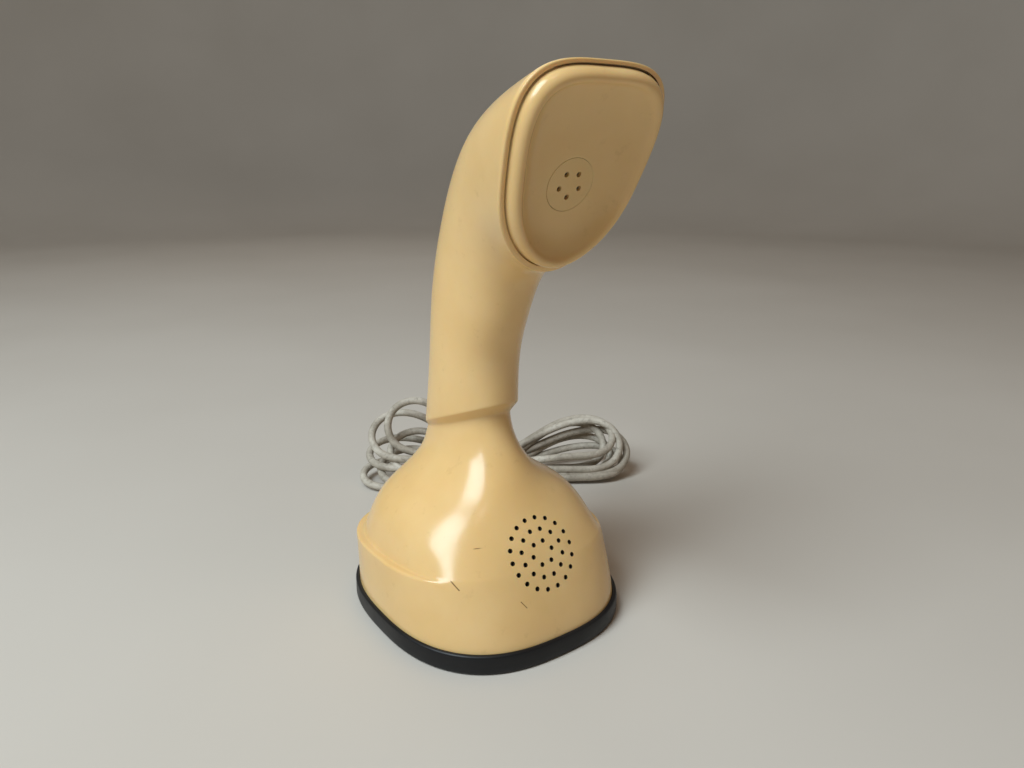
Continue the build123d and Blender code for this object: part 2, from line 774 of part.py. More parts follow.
with BuildPart() as board_screws:
    with BuildSketch(board.offset(board_top)):
        with Locations(*board_posts_at):
            Circle(2.2)
    extrude(amount=1.2)
    with BuildSketch(board.offset(board_top)):
        with Locations(*board_posts_at):
            Circle(1.05)
    extrude(amount=-5)
board_screws.part.label = "board_screws"

with BuildPart() as coil_core:
    with Locations((0, board_y + 1, board_top)):
        Box(20, 12, 11, align=(Align.CENTER, Align.CENTER, Align.MIN))
        with Locations((-6, 0, 2.0), (6, 0, 2.0)):
            Box(4, 13, 7, align=(Align.CENTER, Align.CENTER, Align.MIN), mode=Mode.SUBTRACT)
coil_core.part.label = "coil_core"

with BuildPart() as induction_coil:
    with Locations((0, board_y + 1, board_top + 2.2)):
        Box(15.4, 17, 6.6, align=(Align.CENTER, Align.CENTER, Align.MIN))
        Box(8.2, 13, 6.6, align=(Align.CENTER, Align.CENTER, Align.MIN), mode=Mode.SUBTRACT)
    fillet(induction_coil.edges().filter_by(Axis.Z), 0.9)
induction_coil.part.label = "induction_coil"

with BuildPart() as capacitors:
    with Locations(Plane((-17, board_y - 6, board_top + 3.6), z_dir=(0, 1, 0))):
        Cylinder(3.5, 12, align=(Align.CENTER, Align.CENTER, Align.MIN))
    with Locations(Plane((17, board_y - 6, board_top + 3.6), z_dir=(0, 1, 0))):
        Cylinder(3.5, 12, align=(Align.CENTER, Align.CENTER, Align.MIN))
    fillet(capacitors.edges().filter_by(GeomType.CIRCLE), 0.5)
capacitors.part.label = "capacitors"

with BuildPart() as resistors:
    with Locations(*[Plane((x, board_y - 10.6, board_top + 1.3), z_dir=(1, 0, 0)) for x in (-9, 3)]):
        Cylinder(1.2, 6.5, align=(Align.CENTER, Align.CENTER, Align.MIN))
resistors.part.label = "resistors"

terminal_y = board_y + 9.0
with BuildPart() as terminal_block:
    with Locations((-18, terminal_y + 0.5, board_top), (18, terminal_y + 0.5, board_top)):
        Box(14, 6, 5, align=(Align.CENTER, Align.CENTER, Align.MIN))
terminal_block.part.label = "terminal_block"

with BuildPart() as terminal_screws:
    with Locations(*[(x, terminal_y + 0.5, board_top + 5) for x in (-21.5, -14.5, 14.5, 21.5)]):
        Cylinder(1.9, 1.2, align=(Align.CENTER, Align.CENTER, Align.MIN))
terminal_screws.part.label = "terminal_screws"


def wire(route, diameter, share=0.45):
    """Straight runs joined by tangent arcs as large as the runs allow, swept as a round wire."""
    radii = []
    for before, corner, after in zip(route, route[1:], route[2:]):
        first, second = Vector(*corner) - Vector(*before), Vector(*after) - Vector(*corner)
        turn = radians(first.get_angle(second))
        radii.append(share * min(first.length, second.length) / tan(turn / 2))
    with BuildPart() as made:
        with BuildLine() as path:
            FilletPolyline(*route, radius=radii)
        with BuildSketch(Plane(path.line @ 0, z_dir=path.line % 0)):
            Circle(diameter / 2)
        sweep()
    length = sum(edge.length for edge in path.line.edges())
    print(f"wire {length:.0f} mm, smallest radius {min(radii):.1f},",
          f"volume ratio {made.part.volume / (length * pi * diameter ** 2 / 4):.3f}")
    return made.part


def pair(route, spacing, diameter):
    """Two wires side by side."""
    return [wire([(x + side * spacing / 2, y, z) for x, y, z in route], diameter) for side in (-1, 1)]


def behind_capsule(depth, along):
    """A point behind the receiver, depth behind its clip and along up the face."""
    point = face_plane(clip_back - depth).from_local_coords((0, along - insert_drop, 0))
    return (point.X, point.Y, point.Z)


receiver_route = [
    (0, board_y - 9, board_top + 0.4),
    (0, board_y - 10, board_top + 17),
    (0, foot_y + 19, 64),
    (0, foot_y + 13, 84),
    (0, foot_y + 9, 106),
    (0, foot_y + 6, 128),
    (0, foot_y - 1, 148),
    behind_capsule(15, -16),
    behind_capsule(8, -6),
    behind_capsule(1.4, -7),
]
with BuildPart() as receiver_leads:
    for lead in pair(receiver_route, 2.4, 1.5):
        add(lead)
receiver_leads.part.label = "receiver_leads"

mic_tail = mic_plane(mic_back).origin
mic_route = [
    (-9, mic_tail.Y + 1.2, mic_tail.Z - 6),
    (-13, mic_tail.Y + 8, mic_tail.Z - 3),
    (-20, foot_y - 12, 33),
    (-21.5, foot_y - 1, 34),
    (-20.5, foot_y + 9, 33),
    (-18.5, board_y - 10.5, board_top + 3.0),
    (-17.5, board_y - 11.8, board_top + 0.4),
]
with BuildPart() as mic_leads:
    for lead in pair(mic_route, 2.2, 1.3):
        add(lead)
mic_leads.part.label = "mic_leads"

# ---- line cord ----------------------------------------------------------------------------
grommet_end = shell_back + 20
with BuildPart() as cord_grommet:
    for behind, radius, thick in ((1.8, 6.4, 1.2), (1.8, 4.9, 6.2), (-3.0, 6.4, 1.4)):
        with BuildSketch(Plane.XZ.offset(-shell_back - behind)):
            with Locations((0, cord_exit_z)):
                Circle(radius)
        extrude(amount=thick)
    for far, radius in ((shell_back + 1.6, 4.4), (grommet_end, 3.1)):
        with BuildSketch(Plane.XZ.offset(-far)):
            with Locations((0, cord_exit_z)):
                Circle(radius)
    loft()
    with BuildSketch(Plane.XZ.offset(-grommet_end - 1)):
        with Locations((0, cord_exit_z)):
            Circle(cord_d / 2)
    extrude(amount=32, mode=Mode.SUBTRACT)
cord_grommet.part.label = "cord_grommet"

cord_route = [
    (0, grommet_end - 14, cord_exit_z),
    (0, grommet_end + 6, cord_exit_z),
    (4, 105, 10),
    (15, 114, 4),
    (32, 114.5, 2.4),
    (50, 110, 2.4),
    (68.7, 105.5, 3.2),
]
with BuildPart() as line_cord:
    add(wire(cord_route, cord_d))
line_cord.part.label = "line_cord"

# the folded hank: slices along its axis, each (share of the way, half width, half height, middle height)
hank_left = (8.0, 150.0)
hank_right = (146.0, 67.0)
hank_slices = (
    (0.02, 7.0, 12.0, 14.0), (0.10, 19.0, 23.0, 23.2), (0.26, 18.0, 16.0, 16.2), (0.48, 11.0, 9.0, 9.2),
    (0.72, 17.0, 12.0, 12.2), (0.90, 19.0, 14.0, 14.2), (0.99, 8.0, 7.0, 9.0),
)
hank_run = (hank_right[0] - hank_left[0], hank_right[1] - hank_left[1])
with BuildPart() as cord_hank:
    slices = []
    for along, half, high, middle in hank_slices:
        place = Plane((hank_left[0] + hank_run[0] * along, hank_left[1] + hank_run[1] * along, middle),
                      x_dir=(-hank_run[1], hank_run[0], 0), z_dir=(hank_run[0], hank_run[1], 0))
        with BuildSketch(place) as slice_sketch:
            with BuildLine():
                Spline(*oval(half, high, 2.4), periodic=True)
            make_face()
        slices.append(slice_sketch.sketch)
    loft(slices, ruled=True)
cord_hank.part.label = "cord_hank"

plug_place = Location((38.6, 76.3, plug_size[2] / 2 + 0.1), (0, 0, -104))
with BuildPart() as line_plug:
    with Locations(plug_place):
        Box(*plug_size)
    fillet(line_plug.edges(), 3.0)
line_plug.part.label = "line_plug"

with BuildPart() as plug_pins:
    with Locations(plug_place):
        with Locations(*[(x, -plug_size[1] / 2 - 5, z) for x, z in ((-5, 0), (5, 0), (0, 5))]):
            Box(2.4, 10, 1.2)
plug_pins.part.label = "plug_pins"

tail_route = [
    (53.2, 72.7, 8.1),
    (67.5, 69.1, 6.5),
    (78.9, 78.4, 3.5),
    (78.4, 93.1, 2.6),
    (66.4, 101.5, 7),
]
with BuildPart() as cord_tail:
    add(wire(tail_route, cord_d))
cord_tail.part.label = "cord_tail"

# ---- files --------------------------------------------------------------------------------
os.makedirs("parts", exist_ok=True)
pieces = (
    body_shell, foot_ring, ear_plate, ear_insert, receiver_seal, receiver_capsule, receiver_clip,
    mic_seal, mic_capsule, mic_clamp, mic_screws, finger_wheel, wheel_hub, dial_shaft, main_gear,
    off_normal_cam, impulse_shaft, impulse_gear, impulse_cam, governor_shaft, governor_weights,
    governor_drum, dial_frame, frame_pillars, dial_bridge, bridge_screws, return_spring,
    impulse_springs, off_normal_springs, number_ring, base_plate, base_screws, finger_stop,
    hook_button, hook_rod, hook_bracket, lever_pin, hook_lever, hook_spring, hook_contacts,
    circuit_board, board_posts, board_screws, coil_core, induction_coil, capacitors, resistors,
    terminal_block, terminal_screws, receiver_leads, mic_leads, cord_grommet, line_cord, cord_hank,
    cord_tail, line_plug, plug_pins,
)
for piece in pieces:
    export_step(piece.part, f"parts/{piece.part.label}.step")
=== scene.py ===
"""One-piece stand-up rotary telephone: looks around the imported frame. Lengths here are millimetres unless
a name says otherwise; everything is turned into metres where a mesh is made."""
import json
import math

import bmesh
import bpy
import numpy as np
from mathutils import Matrix, Vector


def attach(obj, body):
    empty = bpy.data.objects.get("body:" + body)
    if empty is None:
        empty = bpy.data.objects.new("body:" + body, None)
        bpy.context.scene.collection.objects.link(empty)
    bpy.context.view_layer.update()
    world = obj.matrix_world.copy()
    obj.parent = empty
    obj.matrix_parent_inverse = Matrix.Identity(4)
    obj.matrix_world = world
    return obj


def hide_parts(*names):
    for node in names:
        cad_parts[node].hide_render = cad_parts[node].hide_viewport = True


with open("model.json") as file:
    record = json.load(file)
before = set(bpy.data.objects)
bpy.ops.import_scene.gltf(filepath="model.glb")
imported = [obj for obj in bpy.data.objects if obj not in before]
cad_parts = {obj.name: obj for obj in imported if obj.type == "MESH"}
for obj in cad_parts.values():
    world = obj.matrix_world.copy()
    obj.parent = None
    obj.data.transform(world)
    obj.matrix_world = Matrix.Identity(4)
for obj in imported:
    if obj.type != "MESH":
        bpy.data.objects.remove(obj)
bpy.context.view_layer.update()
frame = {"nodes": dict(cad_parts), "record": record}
MM = 0.001
CASE = "case"

# ---- dimensions shared with the CAD ---------------------------------------------------------
FOOT_Y = 7.88
WALL = 2.2
RING_HEIGHT, RING_LIP, RING_WIDTH, SHELF_Z = 8.0, 1.7, 6.5, 4.5
FOOT_HALF, FOOT_REACH, FOOT_SQUARE = 50.6, 56.2, 2.6
SKIRT_Z, SKIRT_CURVE = 33.5, 1.4
SKIRT_SIDE, SKIRT_FRONT, SKIRT_BACK = 0.3, 10.3, 1.2
LEDGE = 3.5                # width of the ledge at the sides and the back
LEDGE_FADE = (38.0, 72.0)  # degrees from the front between which the ledge grows to its width
LEDGE_SLOPE = 0.05         # the skirt's top runs down by this towards the back
LEDGE_LEVEL = -30.0        # local y in front of which it is level
LEDGE_POWER = 1.5          # how the slope grows from the foot's bottom up to the ledge
GRIP_EDGE = ((-15.9, 93.0), (33.6, 74.3))
FACE_LEAN, FACE_TOP, FACE_LENGTH, FACE_HALF = 22.8, (-72.3, 217.8), 73.8, 30.0
FACE_EGG, FACE_SQUARE, FACE_SQUARE_TOP = 0.19, 2.05, 3.4
FACE_BOTTOM = (FACE_TOP[0] + FACE_LENGTH * math.sin(math.radians(FACE_LEAN)),
               FACE_TOP[1] - FACE_LENGTH * math.cos(math.radians(FACE_LEAN)))
PLATE_GAP, PLATE_STAND, DISH_DEPTH = 0.5, 4.4, 5.6
INSERT_RADIUS, INSERT_DROP = 9.4, 4.6
MIC_FRONT, MIC_LEAN = (-42.9, 38.4), 32.0
MIC_STEP, MIC_HOLE = 4.75, 0.95
CORD_D = 4.4
CORD_RADIUS = CORD_D / 2

# front (y, z), back (y, z), half width, squareness, egg, squareness at the back
BELL = (
    ((-40.4, 42.0), (47.0, 42.0), 43.8, 2.5, 0.0, 2.5),
    ((-33.7, 50.5), (44.2, 49.5), 38.2, 2.35, 0.0, 2.35),
    ((-27.6, 59.0), (41.2, 56.5), 27.2, 2.2, 0.0, 2.2),
    ((-21.6, 68.0), (38.4, 63.0), 19.0, 2.1, 0.0, 2.1),
    ((-14.6, 79.0), (36.2, 69.0), 15.3, 2.1, 0.0, 2.1),
    ((-11.1, 92.9), (32.4, 75.9), 14.7, 2.1, 0.0, 2.1),
)
GRIP = (
    (*GRIP_EDGE, 17.2, 2.1, 0.0, 2.1),
    ((-16.7, 113.0), (27.4, 107.5), 17.2, 2.1, 0.0, 2.1),
    ((-22.6, 127.5), (24.4, 136.5), 17.2, 2.1, 0.0, 2.1),
    ((-28.7, 140.5), (13.8, 167.0), 18.0, 2.15, 0.0, 2.15),
    ((-35.4, 148.2), (-13.0, 199.0), 21.5, 2.25, 0.08, 2.4),
    (FACE_BOTTOM, FACE_TOP, FACE_HALF, FACE_SQUARE, FACE_EGG, FACE_SQUARE_TOP),
)

# ---- camera ---------------------------------------------------------------------------------
HEADING, PITCH, CAMERA_AT, LENS = 35.43, 16.6, (-0.1692, -0.2518, 0.190), 27.18
camera_data = bpy.data.cameras.new("camera")
camera_data.lens = LENS
camera_data.sensor_width = 36.0
camera_data.clip_start = 0.01
camera = bpy.data.objects.new("camera", camera_data)
camera.location = CAMERA_AT
camera.rotation_euler = (math.radians(90 - PITCH), 0, -math.radians(HEADING))
bpy.context.scene.collection.objects.link(camera)
bpy.context.scene.camera = camera
bpy.context.scene.view_settings.view_transform = "Standard"


# ---- helpers --------------------------------------------------------------------------------
def link(name, data, body=CASE):
    """A new piece made of data, riding on a body."""
    piece = bpy.data.objects.new(name, data)
    bpy.context.scene.collection.objects.link(piece)
    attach(piece, body)
    return piece


def mesh_piece(name, points, faces, material, body=CASE):
    """A smooth-shaded piece from points in millimetres."""
    mesh = bpy.data.meshes.new(name)
    mesh.from_pydata([tuple(p) for p in np.asarray(points) * MM], [], faces)
    mesh.validate()
    mesh.update()
    mesh.shade_smooth()
    mesh.materials.append(material)
    piece = link(name, mesh, body)
    return piece


def grid_faces(rows, columns):
    """Quads of a tube of rows, each row a closed loop of columns points."""
    faces = []
    for r in range(rows - 1):
        for c in range(columns):
            d = (c + 1) % columns
            faces.append([r * columns + c, r * columns + d, (r + 1) * columns + d, (r + 1) * columns + c])
    return faces


def smoothstep(value):
    """0 to 1 with soft ends; below 0 and above 1 it stays flat."""
    part = np.clip(value, 0.0, 1.0)
    return part * part * (3 - 2 * part)


# ---- node materials -------------------------------------------------------------------------
class Nodes:
    """A short way to write a material's node tree."""

    def __init__(self, name):
        self.material = bpy.data.materials.new(name)
        self.material.use_nodes = True
        self.tree = self.material.node_tree
        self.shader = self.tree.nodes["Principled BSDF"]
        self.place = self.add("ShaderNodeTexCoord").outputs["Object"]

    def add(self, kind, **values):
        """A new node with these settings."""
        node = self.tree.nodes.new(kind)
        for key, value in values.items():
            setattr(node, key, value)
        return node

    def link(self, out, into):
        self.tree.links.new(out, into)

    def noise(self, scale, detail=3.0, rough=0.5, stretch=None):
        """Noise value over the object's own space; stretch squeezes it along an axis."""
        where = self.place
        if stretch:
            mapping = self.add("ShaderNodeMapping")
            mapping.inputs["Scale"].default_value = stretch
            self.link(where, mapping.inputs["Vector"])
            where = mapping.outputs["Vector"]
        node = self.add("ShaderNodeTexNoise")
        for key, number in (("Scale", scale), ("Detail", detail), ("Roughness", rough)):
            node.inputs[key].default_value = number
        self.link(where, node.inputs["Vector"])
        return node.outputs["Fac"]

    def ramp(self, value, *stops):
        """Colour ramp through (position, colour) stops."""
        node = self.add("ShaderNodeValToRGB")
        while len(node.color_ramp.elements) < len(stops):
            node.color_ramp.elements.new(0.5)
        for element, (position, colour) in zip(node.color_ramp.elements, stops):
            element.position = position
            element.color = (*colour, 1.0)
        self.link(value, node.inputs["Fac"])
        return node.outputs["Color"]

    def spread(self, value, low, high, start=0.3, end=0.7):
        """Maps a value between start and end to low and high."""
        node = self.add("ShaderNodeMapRange")
        for key, number in (("From Min", start), ("From Max", end), ("To Min", low), ("To Max", high)):
            node.inputs[key].default_value = number
        self.link(value, node.inputs["Value"])
        return node.outputs["Result"]

    def mix(self, factor, first, second):
        """Colour socket first, and towards the plain colour second where the factor socket is 1."""
        node = self.add("ShaderNodeMix", data_type="RGBA")
        # the factor for colours, and the two colours, which share their names with other sockets
        factor_in, first_in, second_in = (node.inputs[i] for i in (0, 6, 7))
        self.link(factor, factor_in)
        self.link(first, first_in)
        second_in.default_value = (*second, 1.0)
        return node.outputs[2]

    def larger(self, first, second):
        """The larger one of two value sockets."""
        node = self.add("ShaderNodeMath", operation="MAXIMUM")
        self.link(first, node.inputs[0])
        self.link(second, node.inputs[1])
        return node.outputs[0]

    def bump(self, height, strength, distance):
        """Fine relief in the shader only; distance is in metres."""
        node = self.add("ShaderNodeBump")
        node.inputs["Strength"].default_value = strength
        node.inputs["Distance"].default_value = distance
        self.link(height, node.inputs["Height"])
        self.link(node.outputs["Normal"], self.shader.inputs["Normal"])

    def set(self, **values):
        """Sets or links the shader's own sockets."""
        for key, value in values.items():
            socket = self.shader.inputs[key.replace("_", " ")]
            if isinstance(value, bpy.types.NodeSocket):
                self.link(value, socket)
            elif hasattr(socket.default_value, "__len__"):
                socket.default_value = (*value, 1.0)[:len(socket.default_value)]
            else:
                socket.default_value = value


def scratch(nodes, start, end, width):
    """1 along a short scratch between two points in millimetres, 0 elsewhere."""
    a, b = Vector(start) * MM, Vector(end) * MM
    run = b - a
    away = nodes.add("ShaderNodeVectorMath", operation="SUBTRACT")
    nodes.link(nodes.place, away.inputs[0])
    away.inputs[1].default_value = a
    along = nodes.add("ShaderNodeVectorMath", operation="DOT_PRODUCT")
    nodes.link(away.outputs[0], along.inputs[0])
    along.inputs[1].default_value = run / run.length_squared
    part = nodes.add("ShaderNodeClamp")
    nodes.link(along.outputs["Value"], part.inputs["Value"])
    reach = nodes.add("ShaderNodeVectorMath", operation="SCALE")
    reach.inputs[0].default_value = run
    nodes.link(part.outputs[0], reach.inputs["Scale"])
    gap = nodes.add("ShaderNodeVectorMath", operation="DISTANCE")
    nodes.link(away.outputs[0], gap.inputs[0])
    nodes.link(reach.outputs[0], gap.inputs[1])
    return nodes.spread(gap.outputs["Value"], 1.0, 0.0, width * 0.4 * MM, width * MM)


# scratches on the front of the bell: start, end, half width
SCRATCHES = (
    ((-37.5, -26.3, 34.4), (-35.7, -29.6, 31.3), 0.34),
    ((-26.6, -25.3, 44.0), (-21.0, -27.6, 43.8), 0.22),
    ((-15.1, -41.2, 24.7), (-13.2, -42.5, 22.1), 0.24),
)


def ivory_plastic():
    """Aged, polished ivory moulding: uneven yellowing, faint dirt, fine grain and a few scratches."""
    n = Nodes("ivory_plastic")
    yellowing = n.noise(22, 4, 0.55)
    base = n.ramp(yellowing, (0.30, (0.75, 0.49, 0.205)), (0.72, (0.82, 0.57, 0.27)))
    dirt = n.spread(n.noise(140, 6, 0.7), 0.0, 0.35, 0.60, 0.82)
    base = n.mix(dirt, base, (0.46, 0.25, 0.09))
    marks = scratch(n, *SCRATCHES[0])
    for line in SCRATCHES[1:]:
        marks = n.larger(marks, scratch(n, *line))
    base = n.mix(marks, base, (0.22, 0.12, 0.05))
    n.set(Base_Color=base, Roughness=n.spread(n.noise(60, 5, 0.6), 0.14, 0.24),
          IOR=1.46, Subsurface_Weight=0.18, Subsurface_Scale=0.004, Subsurface_Radius=(1.0, 0.45, 0.12))
    n.bump(n.noise(900, 3, 0.5), 0.05, 0.0001)
    return n.material


def moulded(name, dark, light, rough=(0.45, 0.6), grain=1500, depth=0.15, scale=30, **shader):
    """Moulded plastic or rubber: two close tones and a fine grain."""
    n = Nodes(name)
    n.set(Base_Color=n.ramp(n.noise(scale, 4), (0.3, dark), (0.7, light)),
          Roughness=n.spread(n.noise(80, 4), *rough), **shader)
    n.bump(n.noise(grain, 2), depth, 0.00015)
    return n.material


def metal(name, dark, light, rough=(0.25, 0.42), stretch=(1, 1, 12), grain=600):
    """Worked metal with a fine brushed direction and dull spots."""
    n = Nodes(name)
    n.set(Base_Color=n.ramp(n.noise(45, 5), (0.3, dark), (0.7, light)), Metallic=1.0,
          Roughness=n.spread(n.noise(grain, 3, 0.6, stretch), *rough))
    n.bump(n.noise(grain, 2, 0.5, stretch), 0.08, 0.0001)
    return n.material


def cord_jacket():
    """Old grey-beige jacket: fine ribs, dirt and worn pale patches."""
    n = Nodes("cord_jacket")
    tone = n.ramp(n.noise(70, 6, 0.65), (0.32, (0.30, 0.265, 0.21)), (0.5, (0.45, 0.405, 0.335)),
                  (0.68, (0.60, 0.56, 0.48)))
    dirt = n.spread(n.noise(420, 4, 0.6), 0.0, 0.6, 0.52, 0.72)
    n.set(Base_Color=n.mix(dirt, tone, (0.17, 0.145, 0.11)), Roughness=n.spread(n.noise(90, 4), 0.5, 0.75))
    n.bump(n.noise(1500, 3, 0.6), 0.35, 0.0004)
    return n.material


def clear_plastic():
    """Clear moulding with a slightly worn surface."""
    n = Nodes("clear_plastic")
    n.set(Base_Color=n.ramp(n.noise(30), (0.3, (0.90, 0.91, 0.89)), (0.7, (0.95, 0.96, 0.95))),
          Roughness=n.spread(n.noise(160, 5, 0.6), 0.04, 0.16), Transmission_Weight=0.94, IOR=1.49)
    return n.material


IVORY = ivory_plastic()
RUBBER = moulded("black_rubber", (0.006, 0.006, 0.007), (0.011, 0.011, 0.012), (0.36, 0.52), 900, 0.1,
                  Specular_IOR_Level=0.32)
BLACK = moulded("black_plastic", (0.016, 0.016, 0.018), (0.028, 0.028, 0.03))
RED = moulded("red_plastic", (0.42, 0.022, 0.016), (0.55, 0.035, 0.025), (0.22, 0.36), 700, 0.06)
NYLON = moulded("white_nylon", (0.70, 0.68, 0.60), (0.80, 0.78, 0.71))
FACE = moulded("dial_face", (0.74, 0.70, 0.60), (0.82, 0.79, 0.70), (0.42, 0.55))
BOARD = moulded("board", (0.22, 0.10, 0.035), (0.32, 0.155, 0.06), (0.35, 0.5), 400)
TAPE = moulded("coil_tape", (0.52, 0.33, 0.08), (0.66, 0.44, 0.13), (0.3, 0.45), 500)
BLUE = moulded("component_blue", (0.05, 0.13, 0.30), (0.08, 0.19, 0.40), (0.22, 0.35))
WIRE = moulded("wire_jacket", (0.20, 0.20, 0.22), (0.32, 0.32, 0.34))
STEEL = metal("steel", (0.46, 0.46, 0.48), (0.62, 0.62, 0.63))
BRASS = metal("brass", (0.62, 0.44, 0.20), (0.78, 0.60, 0.32))
ALUMINIUM = metal("aluminium", (0.62, 0.63, 0.65), (0.74, 0.75, 0.76), (0.3, 0.5))
CLEAR = clear_plastic()
# dark brown for the mouthpiece holes' walls and inner side: painted shade, with some dirt
HOLE_SHADE_AND_DIRT = moulded("grille_dirt", (0.028, 0.016, 0.007), (0.05, 0.03, 0.014), (0.7, 0.85))
JACKET = cord_jacket()
INK = moulded("digit_ink", (0.02, 0.02, 0.022), (0.035, 0.035, 0.037), (0.5, 0.6))

BY_SLOT = {
    "ivory_plastic": IVORY, "black_rubber": RUBBER, "clear_plastic": CLEAR, "dial_face": FACE,
    "black_plastic": BLACK, "red_plastic": RED, "steel": STEEL, "brass": BRASS, "white_nylon": NYLON,
    "aluminium": ALUMINIUM, "board": BOARD, "coil_tape": TAPE, "component_blue": BLUE,
    "wire_jacket": WIRE, "cord_jacket": JACKET,
}
for part in frame["record"]["subparts"]:
    node = frame["nodes"][part["node"]]
    node.data.materials.clear()
    node.data.materials.append(BY_SLOT[part["material_slot"]])

# ---- line cord ------------------------------------------------------------------------------
# from inside the grommet to the hank, and from the hank into the plug
LEAD_IN = [(0, 69.58, 15), (0, 89.58, 15), (4, 105, 10), (15, 114, 4), (32, 114.5, 2.4), (50, 110, 2.4)]
TAIL = [(78.4, 93.1, 2.6), (78.9, 78.4, 3.5), (67.5, 69.1, 6.5), (53.2, 72.7, 8.1)]
HANK_LEFT, HANK_RIGHT = Vector((8, 150, 0)), Vector((146, 67, 0))      # its two outer tips
HANK_ALONG = (HANK_RIGHT - HANK_LEFT).normalized()
HANK_ACROSS = Vector((-HANK_ALONG.y, HANK_ALONG.x, 0))
PINCH = 75.0               # the pinch lies this far along the hank
# each loop: side (1 right, -1 left), sideways place and height in the pinch where it starts, and its round
# tip: distance from the pinch, sideways place, height, radius, and how steeply it stands (degrees)
LOOPS = (
    (1, -6.9, 2.4, 83, 3, 8.5, 16, 16), (-1, 6.9, 2.4, 77, 1, 5, 17, 8),
    (1, -2.3, 2.4, 76, 7, 12, 15.5, 27), (-1, 2.3, 2.4, 66, -4, 11, 16, 22),
    (1, -6.9, 7.0, 86, 3, 15, 16.5, 36), (-1, 6.9, 7.0, 73, 4, 17, 16.5, 14),
    (1, -2.3, 7.0, 72, 7, 18, 15.5, 44), (-1, 2.3, 7.0, 60, -2, 20, 15.5, 34),
    (1, -6.9, 11.6, 81, 1, 20, 16.5, 47), (-1, 6.9, 11.6, 71, 2, 29, 16.5, 40),
    (1, -2.3, 11.6, 77, 5, 24, 15.5, 30), (-1, 2.3, 11.6, 61, -1, 35.5, 16, 76),
)
HANK_END = (-11.5, 6.5)    # sideways place and height where the last loop comes back to the pinch
# a loop's sides on the way to its tip: share of the way to the tip's centre, share of its radius
SIDE_STATIONS = ((0.25, 0.24), (0.5, 0.62), (0.75, 0.91))
TIP_TURNS = (90, 45, 0, -45, -90)
LIE = 0.1                  # free height under a turn that lies on the floor


def loop_points(loop, end, end_low):
    """One loop of the hank: out along one side, round the tip and back to the pinch at end, end_low."""
    side, start, low, reach, aside, high, radius, stand = loop
    centre = reach - radius
    tilt = math.radians(stand)

    def point(along, off, slot, slot_low):
        share = smoothstep(1.1 * along / centre)        # all the way out a little before the tip
        across = slot + (aside - slot) * share + off * math.cos(tilt)
        height = slot_low + (high - slot_low) * share + off * math.sin(tilt)
        place = HANK_LEFT + HANK_ALONG * (PINCH + side * along) + HANK_ACROSS * across
        return (place.x, place.y, max(height, CORD_RADIUS + LIE))

    points = [point(0, 0, start, low)]
    points += [point(centre * share, -side * radius * wide, start, low) for share, wide in SIDE_STATIONS]
    for turn in map(math.radians, TIP_TURNS):
        points.append(point(centre + radius * math.cos(turn), -side * radius * math.sin(turn),
                            *((start, low) if turn > 0 else (end, end_low))))
    points += [point(centre * share, side * radius * wide, end, end_low)
               for share, wide in reversed(SIDE_STATIONS)]
    return points


def hank_points():
    """Control points of every turn of the folded hank."""
    ends = [loop[1:3] for loop in LOOPS[1:]] + [HANK_END]
    points = [p for loop, end in zip(LOOPS, ends) for p in loop_points(loop, *end)]
    last = HANK_LEFT + HANK_ALONG * PINCH + HANK_ACROSS * HANK_END[0]
    return points + [(last.x, last.y, HANK_END[1])]


def tube(name, points, radius, material):
    """A round tube along a smooth line with these control points, in millimetres."""
    curve = bpy.data.curves.new(name, "CURVE")
    curve.dimensions = "3D"
    spline = curve.splines.new("NURBS")
    spline.points.add(len(points) - 1)
    for control, point in zip(spline.points, points):
        control.co = (*(Vector(point) * MM), 1.0)
    spline.order_u = 3
    spline.use_endpoint_u = True
    spline.resolution_u = 10
    curve.bevel_depth = radius * MM
    curve.bevel_resolution = 5
    curve.materials.append(material)
    return link(name, curve)


cord = tube("line_cord_run", LEAD_IN + hank_points() + TAIL, CORD_RADIUS, JACKET)
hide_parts("line_cord", "cord_hank", "cord_tail")

# ---- outlines of the shell ------------------------------------------------------------------
COLUMNS = 192
ANGLES = np.arange(COLUMNS) * 2 * math.pi / COLUMNS
COS, SIN = np.cos(ANGLES), np.sin(ANGLES)


def oval(half, reach, square=2.1, egg=0.0, square_back=None):
    """The CAD's outline formula at every column: local x and y."""
    power = square + ((square_back or square) - square) * (1 + SIN) / 2
    scale = (np.abs(COS) ** power + np.abs(SIN) ** power) ** (-1 / power)
    return half * scale * COS * (1 + egg * scale * SIN), reach * scale * SIN


def slice_points(station, inset=0.0):
    """One cross-section of the bell or grip as points, drawn in by the inset."""
    (fy, fz), (by, bz), half, square, egg, square_back = station
    reach = math.hypot(by - fy, bz - fz) / 2
    uy, uz = (by - fy) / reach / 2, (bz - fz) / reach / 2
    x, y = oval(half - inset, reach - inset, square, egg, square_back)
    return np.stack([x, FOOT_Y + (fy + by) / 2 + uy * y, (fz + bz) / 2 + uz * y], axis=1)


def foot_points(height, inset=0.0, depth=None):
    """One slice of the foot; depth is how far each column is drawn in for the ledge."""
    part = (height - SHELF_Z) / (SKIRT_Z - SHELF_Z)
    half = FOOT_HALF - SKIRT_SIDE * part
    front = FOOT_REACH - SKIRT_FRONT * max(0.0, part) ** SKIRT_CURVE
    back = FOOT_REACH - SKIRT_BACK * part
    x, y = oval(half - inset, (front + back) / 2 - inset, FOOT_SQUARE)
    if depth is not None:
        scale = 1 - depth / np.hypot(x, y)
        x, y = x * scale, y * scale
    y = y + (back - front) / 2
    fall = LEDGE_SLOPE * np.maximum(0, y - LEDGE_LEVEL) * max(0.0, part) ** LEDGE_POWER
    return np.stack([x, FOOT_Y + y, height - fall], axis=1)


